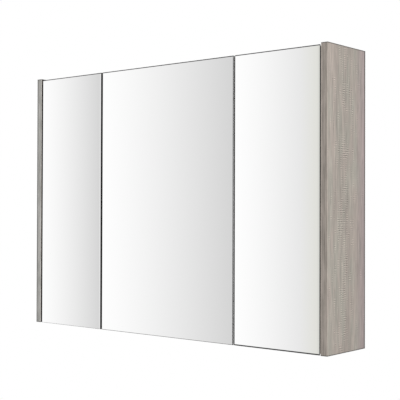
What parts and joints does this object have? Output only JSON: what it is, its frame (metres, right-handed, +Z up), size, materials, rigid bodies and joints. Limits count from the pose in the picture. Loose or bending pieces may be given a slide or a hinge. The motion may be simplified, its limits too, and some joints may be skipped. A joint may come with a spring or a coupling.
{
  "type": "medicine cabinet with mirror",
  "caption": "Wall cabinet with mirror-faced doors that swing on pivot hinges between taller side panels, with glass shelves inside.",
  "frame": {"origin": "middle of the hanging rail's rear face, which lies on the wall", "axes": "+X to the right along the front, +Y into the wall, +Z up; the mirrors face -Y"},
  "size_m": [0.9, 0.151, 0.64],
  "materials": {
    "larch_decor": "grey larch decor, fine vertical grain, satin",
    "edge_strip": "ABS edge strip in the decor's colour, satin",
    "inside_decor": "light grey melamine, satin",
    "back_board": "thin lacquered fibreboard, matt",
    "mirror": "silvered float glass, polished",
    "clear_glass": "clear float glass, polished edges",
    "aluminium": "anodised, brushed",
    "zinc_steel": "zinc plated, satin",
    "white_nylon": "moulded, satin",
    "silicone": "clear soft dome"
  },
  "bodies": {
    "cabinet": {"back_panel": "back_board", "bottom_panel": "larch_decor", "divider_left": "larch_decor", "divider_right": "larch_decor", "door_bumper_left": "silicone", "door_bumper_middle": "silicone", "door_bumper_right": "silicone", "glass_shelf_left_1": "clear_glass", "glass_shelf_left_2": "clear_glass", "glass_shelf_middle_1": "clear_glass", "glass_shelf_middle_2": "clear_glass", "glass_shelf_right_1": "clear_glass", "glass_shelf_right_2": "clear_glass", "hanger_plate_left": "zinc_steel", "hanger_plate_right": "zinc_steel", "hanging_rail": "larch_decor", "hinge_bracket_bottom_left": "zinc_steel", "hinge_bracket_bottom_middle": "zinc_steel", "hinge_bracket_bottom_right": "zinc_steel", "hinge_bracket_top_left": "zinc_steel", "hinge_bracket_top_middle": "zinc_steel", "hinge_bracket_top_right": "zinc_steel", "lower_rail": "larch_decor", "magnetic_catch_left": "white_nylon", "magnetic_catch_middle": "white_nylon", "magnetic_catch_right": "white_nylon", "shelf_ledge_left_1a": "aluminium", "shelf_ledge_left_1b": "aluminium", "shelf_ledge_left_2a": "aluminium", "shelf_ledge_left_2b": "aluminium", "shelf_ledge_middle_1a": "aluminium", "shelf_ledge_middle_1b": "aluminium", "shelf_ledge_middle_2a": "aluminium", "shelf_ledge_middle_2b": "aluminium", "shelf_ledge_right_1a": "aluminium", "shelf_ledge_right_1b": "aluminium", "shelf_ledge_right_2a": "aluminium", "shelf_ledge_right_2b": "aluminium", "side_edging_left": "edge_strip", "side_edging_right": "edge_strip", "side_panel_left": "larch_decor", "side_panel_right": "larch_decor", "top_panel": "larch_decor"},
    "door_left": {"door_board_left": "inside_decor", "hinge_shoe_bottom_left": "white_nylon", "hinge_shoe_top_left": "white_nylon", "mirror_left": "mirror", "strike_plate_left": "zinc_steel"},
    "door_middle": {"door_board_middle": "inside_decor", "hinge_shoe_bottom_middle": "white_nylon", "hinge_shoe_top_middle": "white_nylon", "mirror_middle": "mirror", "strike_plate_middle": "zinc_steel"},
    "door_right": {"door_board_right": "inside_decor", "hinge_shoe_bottom_right": "white_nylon", "hinge_shoe_top_right": "white_nylon", "mirror_right": "mirror", "strike_plate_right": "zinc_steel"}
  },
  "joints": [
    {"name": "door_left_swing", "type": "hinge", "parent": "cabinet", "child": "door_left", "pos_m": [-0.422, -0.1415, -0.3], "axis": [0, 0, -1], "range_deg": [0, 95]},
    {"name": "door_middle_swing", "type": "hinge", "parent": "cabinet", "child": "door_middle", "pos_m": [-0.198, -0.1415, -0.3], "axis": [0, 0, -1], "range_deg": [0, 95]},
    {"name": "door_right_swing", "type": "hinge", "parent": "cabinet", "child": "door_right", "pos_m": [0.422, -0.1415, -0.3], "axis": [0, 0, 1], "range_deg": [0, 95]}
  ]
}
